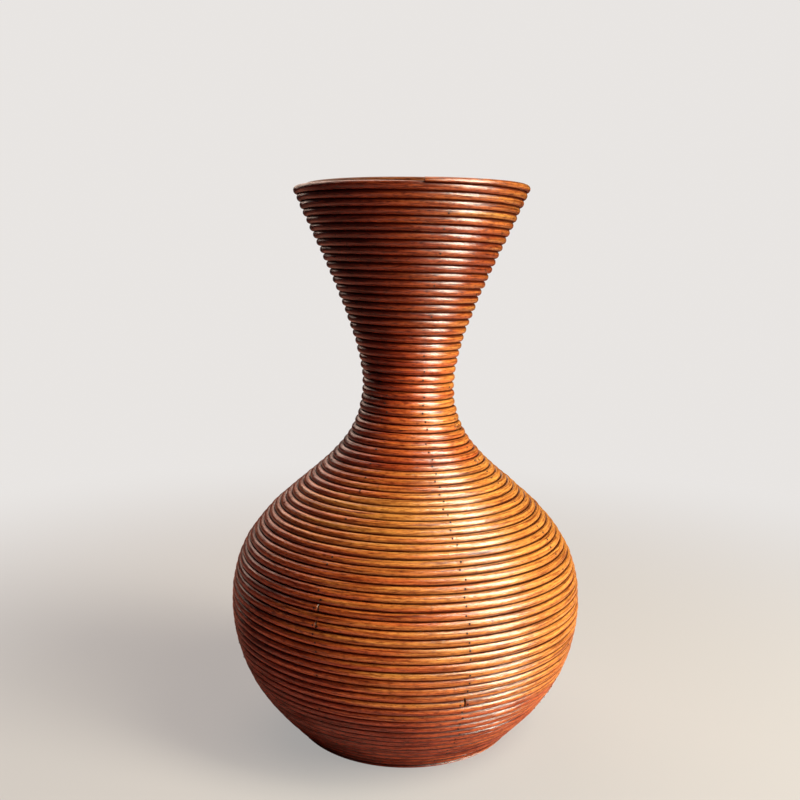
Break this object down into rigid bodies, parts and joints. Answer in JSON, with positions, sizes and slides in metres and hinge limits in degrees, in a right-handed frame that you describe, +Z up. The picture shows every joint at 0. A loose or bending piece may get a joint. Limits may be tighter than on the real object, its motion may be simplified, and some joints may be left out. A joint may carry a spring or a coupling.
{
  "type": "woven rattan vase",
  "caption": "Tall rattan vase with a round belly, narrow neck and flared mouth, wound from varnished canes over a ribbed frame; holds dried stems.",
  "frame": {"origin": "middle of the foot, on the surface that the vase stands on", "axes": "+Z up along the axis of the vase, front of the vase towards -Y"},
  "size_m": [0.2984, 0.2984, 0.4654],
  "materials": {
    "rattan_cane": "glossy varnish over honey-brown rattan",
    "rattan_frame": "plain brown rattan, thin varnish",
    "base_wood": "bare sawn wood",
    "brad_steel": "darkened steel brad heads"
  },
  "bodies": {
    "root": {"base_board": "base_wood", "rib_1": "rattan_frame", "rib_2": "rattan_frame", "rib_3": "rattan_frame", "rib_4": "rattan_frame", "rib_5": "rattan_frame", "rib_6": "rattan_frame", "rib_7": "rattan_frame", "rib_8": "rattan_frame", "belly_hoop": "rattan_frame", "neck_hoop": "rattan_frame", "rim_hoop": "rattan_frame", "cane_01": "rattan_cane", "cane_02": "rattan_cane", "cane_03": "rattan_cane", "cane_04": "rattan_cane", "cane_05": "rattan_cane", "cane_06": "rattan_cane", "cane_07": "rattan_cane", "cane_08": "rattan_cane", "cane_09": "rattan_cane", "cane_10": "rattan_cane", "cane_11": "rattan_cane", "cane_12": "rattan_cane", "cane_13": "rattan_cane", "cane_14": "rattan_cane", "cane_15": "rattan_cane", "cane_16": "rattan_cane", "cane_17": "rattan_cane", "cane_18": "rattan_cane"}
  },
  "joints": []
}
